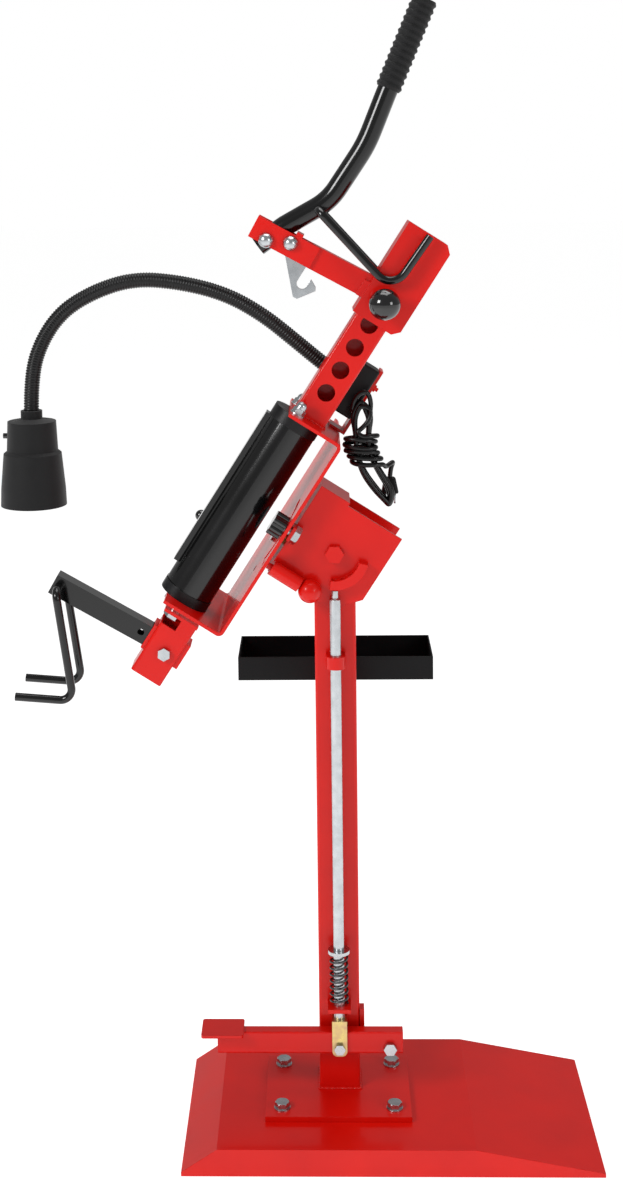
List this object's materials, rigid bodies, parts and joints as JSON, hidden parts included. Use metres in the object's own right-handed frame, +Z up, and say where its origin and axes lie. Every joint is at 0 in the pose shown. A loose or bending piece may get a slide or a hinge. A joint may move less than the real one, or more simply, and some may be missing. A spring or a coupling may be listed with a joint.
{
  "type": "tyre spreader",
  "caption": "Air-powered tyre spreader on a pedestal: tilting head with an air cylinder, hooked arms and hand lever, foot-pedal tilt lock, tool tray and gooseneck lamp",
  "frame": {"origin": "on the floor under the post's axis, on the base's stiffening rib", "axes": "+Z up, +X to the right along the long ramp, +Y to the back where the tray is"},
  "size_m": [0.867, 0.332, 1.6579],
  "materials": {
    "red_paint": "gloss powder coat",
    "black_gloss_paint": "gloss black paint",
    "black_cast": "satin black",
    "zinc": "zinc plated",
    "yellow_zinc": "yellow passivated zinc",
    "spring_steel": "oiled spring steel",
    "bronze": "sintered bronze",
    "chromed_rod": "hard chrome",
    "aluminium": "machined",
    "brass_fitting": "turned brass",
    "black_powder": "matte black powder coat",
    "black_knob": "phenolic, polished",
    "seal_rubber": "moulded rubber",
    "grip_rubber": "moulded rubber, matte",
    "black_box": "moulded plastic",
    "ribbed_neck": "ribbed sleeve",
    "cord_pvc": "black PVC",
    "lens": "clear",
    "board": "white circuit board"
  },
  "bodies": {
    "stand": {"base_pan": "red_paint", "post_flange": "red_paint", "flange_bolts": "zinc", "post_tube": "red_paint", "pivot_bush": "bronze", "tool_tray": "black_powder", "tray_screws": "zinc", "post_tabs": "red_paint", "pedal_pivot_bolt": "zinc", "tilt_pivot_bolt": "red_paint"},
    "lock_rod_set": {"lock_rod": "zinc", "spring_collar": "zinc", "lock_spring": "spring_steel", "rod_link": "yellow_zinc", "link_pin": "zinc"},
    "pedal": {"pedal_arm": "red_paint"},
    "tilt_head": {"tilt_box": "red_paint", "lock_arc": "red_paint", "swivel_bush": "bronze", "swivel_fasteners": "zinc", "plunger_barrel": "red_paint"},
    "knob": {"clamp_knob": "black_knob"},
    "index_plunger": {"plunger_pin": "red_paint"},
    "swivel_head": {"u_bracket": "red_paint", "cylinder_barrel": "black_gloss_paint", "front_cap": "black_cast", "rear_cap": "black_cast", "cap_screws": "zinc", "rod_bush": "bronze", "top_stud_nuts": "zinc", "upper_tube": "red_paint", "valve_body": "aluminium", "inlet_nipple": "brass_fitting", "lamp_plate": "red_paint", "lamp_box": "black_box", "gooseneck": "ribbed_neck", "lamp_shell": "grip_rubber", "lamp_lens": "lens", "led_board": "board", "lamp_cord": "cord_pvc", "cord_gland": "seal_rubber", "cord_hank": "cord_pvc", "mains_plug": "black_box"},
    "air_valve_lever": {"valve_lever": "black_knob"},
    "lamp_button": {"lamp_switch": "black_knob"},
    "piston_set": {"piston": "aluminium", "piston_seal": "seal_rubber", "piston_rod": "chromed_rod", "lower_tube": "red_paint", "cross_sleeve": "red_paint", "lower_fasteners": "zinc", "lower_arm": "black_gloss_paint"},
    "hanging_hook": {"lower_hook": "black_gloss_paint"},
    "slide_carriage": {"carriage": "red_paint", "arm_bolts": "zinc"},
    "spring_pin": {"carriage_pin": "black_knob"},
    "hand_lever": {"lever_tube": "black_gloss_paint", "lever_grip": "grip_rubber"},
    "fork_hook": {"upper_hook": "black_gloss_paint"},
    "latch": {"latch_hook": "zinc"}
  },
  "joints": [
    {"name": "head_tilt", "type": "hinge", "parent": "stand", "child": "tilt_head", "pos_m": [0, 0, 0.8629], "axis": [0, 1, 0], "range_deg": [0, 60]},
    {"name": "head_swivel", "type": "hinge", "parent": "tilt_head", "child": "swivel_head", "pos_m": [-0.06939, 0, 0.88257], "axis": [0.841, 0, -0.541], "range_deg": [-60, 60]},
    {"name": "clamp_turn", "type": "hinge", "parent": "tilt_head", "child": "knob", "pos_m": [-0.06074, -0.05, 0.89602], "axis": [0.841, 0, -0.541], "continuous": true},
    {"name": "plunger_pull", "type": "slide", "parent": "tilt_head", "child": "index_plunger", "axis": [0.841, 0, -0.541], "range_m": [0, 0.012]},
    {"name": "cylinder_extend", "type": "slide", "parent": "swivel_head", "child": "piston_set", "axis": [-0.541, 0, -0.841], "range_m": [0, 0.15]},
    {"name": "lower_hook_swing", "type": "hinge", "parent": "piston_set", "child": "hanging_hook", "pos_m": [-0.40323, 0, 0.81051], "axis": [0, 1, 0], "range_deg": [-30, 60]},
    {"name": "carriage_slide", "type": "slide", "parent": "swivel_head", "child": "slide_carriage", "axis": [0.541, 0, 0.841], "range_m": [0, 0.077]},
    {"name": "pin_pull", "type": "slide", "parent": "slide_carriage", "child": "spring_pin", "axis": [0, 1, 0], "range_m": [-0.012, 0]},
    {"name": "lever_swing", "type": "hinge", "parent": "slide_carriage", "child": "hand_lever", "pos_m": [-0.09283, 0, 1.3138], "axis": [0, 1, 0], "range_deg": [-100, 0]},
    {"name": "upper_hook_lift", "type": "hinge", "parent": "hand_lever", "child": "fork_hook", "pos_m": [-0.01724, 0, 1.35553], "axis": [0, 1, 0], "range_deg": [-60, 0]},
    {"name": "latch_swing", "type": "hinge", "parent": "slide_carriage", "child": "latch", "pos_m": [-0.05781, 0.025, 1.3091], "axis": [0, 1, 0], "range_deg": [-40, 40]},
    {"name": "pedal_press", "type": "hinge", "parent": "stand", "child": "pedal", "pos_m": [0.074, -0.047, 0.126], "axis": [0, -1, 0], "range_deg": [-8.5, 2], "stiffness_Nm_per_rad": 60},
    {"name": "lock_rod_slide", "type": "slide", "parent": "stand", "child": "lock_rod_set", "axis": [0, 0, -1], "range_m": [-0.0112, 0.0028], "deforming": ["lock_spring"]},
    {"name": "valve_turn", "type": "hinge", "parent": "swivel_head", "child": "air_valve_lever", "pos_m": [-0.20802, 0.112, 0.84451], "axis": [0, 1, 0], "range_deg": [-20, 20], "stiffness_Nm_per_rad": 1},
    {"name": "lamp_switch_press", "type": "slide", "parent": "swivel_head", "child": "lamp_button", "axis": [1, 0, 0], "range_m": [0, 0.002], "stiffness_N_per_m": 200}
  ],
  "couplings": [
    {"joint": "lock_rod_slide", "follows": "pedal_press", "m_per_rad": 0.0735}
  ]
}
